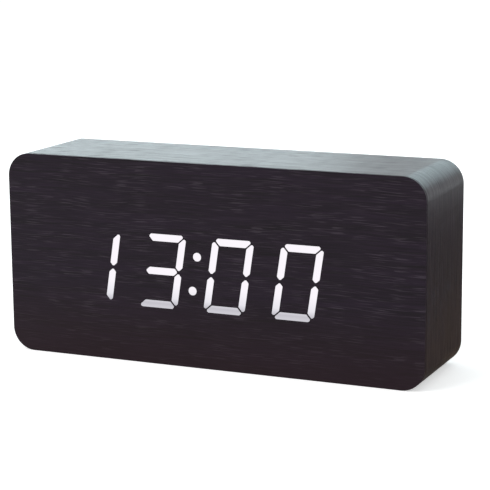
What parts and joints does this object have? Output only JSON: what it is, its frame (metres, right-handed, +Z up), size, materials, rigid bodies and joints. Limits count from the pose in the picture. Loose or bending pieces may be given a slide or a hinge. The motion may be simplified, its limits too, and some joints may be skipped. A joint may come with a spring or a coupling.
{
  "type": "digital alarm clock",
  "caption": "Free-standing digital alarm clock: a dark wood-veneered block with round corners and white lit figures showing through its front.",
  "frame": {"origin": "on the surface it stands on, under the middle of the case", "axes": "+X to the right as seen from the front, +Y from the front face to the back, +Z up"},
  "size_m": [0.15, 0.039, 0.069],
  "materials": {
    "black_veneer": "black-stained veneer, open grain, satin",
    "fibreboard": "sawn and painted dark at the rims",
    "black_plastic": "fine moulded texture",
    "milky_guide": "milky, lit from behind",
    "circuit_board": "green solder mask",
    "plated_steel": "bright plated",
    "cell_wrapper": "plain printed sleeve, no lettering",
    "grey_cap": "moulded",
    "red_lead": "insulation",
    "black_lead": "insulation",
    "grey_ribbon": "flat ribbon insulation"
  },
  "bodies": {
    "case": {"case_core": "fibreboard", "front_panel": "fibreboard", "case_wrap": "black_veneer", "front_veneer": "black_veneer", "display_housing": "black_plastic", "control_chip": "black_plastic", "coin_holder": "black_plastic", "rear_cover": "black_plastic", "tact_switch_1": "black_plastic", "tact_switch_2": "black_plastic", "tact_switch_3": "black_plastic", "dc_jack": "black_plastic", "buzzer": "black_plastic", "digit_guide_1": "milky_guide", "digit_guide_2": "milky_guide", "digit_guide_3": "milky_guide", "digit_guide_4": "milky_guide", "colon_guide": "milky_guide", "display_board": "circuit_board", "control_board": "circuit_board", "coin_cell": "plated_steel", "rear_screw_1": "plated_steel", "rear_screw_2": "plated_steel", "rear_screw_3": "plated_steel", "rear_screw_4": "plated_steel", "display_screw_1": "plated_steel", "display_screw_2": "plated_steel", "display_screw_3": "plated_steel", "display_screw_4": "plated_steel", "control_screw_1": "plated_steel", "control_screw_2": "plated_steel", "contact_positive": "plated_steel", "contact_negative": "plated_steel", "contact_link_1": "plated_steel", "contact_link_2": "plated_steel", "contact_link_3": "plated_steel", "battery_spring_1": "plated_steel", "battery_spring_2": "plated_steel", "battery_spring_3": "plated_steel", "battery_spring_4": "plated_steel", "dc_pin": "plated_steel", "microphone": "plated_steel", "battery_1": "cell_wrapper", "battery_2": "cell_wrapper", "battery_3": "cell_wrapper", "battery_4": "cell_wrapper", "battery_lead_red": "red_lead", "battery_lead_black": "black_lead", "board_ribbon": "grey_ribbon"},
    "battery_door": {"battery_door": "black_plastic"},
    "button_set": {"button_set": "grey_cap"},
    "button_up": {"button_up": "grey_cap"},
    "button_down": {"button_down": "grey_cap"}
  },
  "joints": [
    {"name": "battery_door_hinge", "type": "hinge", "parent": "case", "child": "battery_door", "pos_m": [-0.0305, 0.0168, 0.0125], "axis": [-1, 0, 0], "range_deg": [0, 95]},
    {"name": "button_set_press", "type": "slide", "parent": "case", "child": "button_set", "axis": [0, -1, 0], "range_m": [0, 0.0005], "stiffness_N_per_m": 1500},
    {"name": "button_up_press", "type": "slide", "parent": "case", "child": "button_up", "axis": [0, -1, 0], "range_m": [0, 0.0005], "stiffness_N_per_m": 1500},
    {"name": "button_down_press", "type": "slide", "parent": "case", "child": "button_down", "axis": [0, -1, 0], "range_m": [0, 0.0005], "stiffness_N_per_m": 1500}
  ]
}
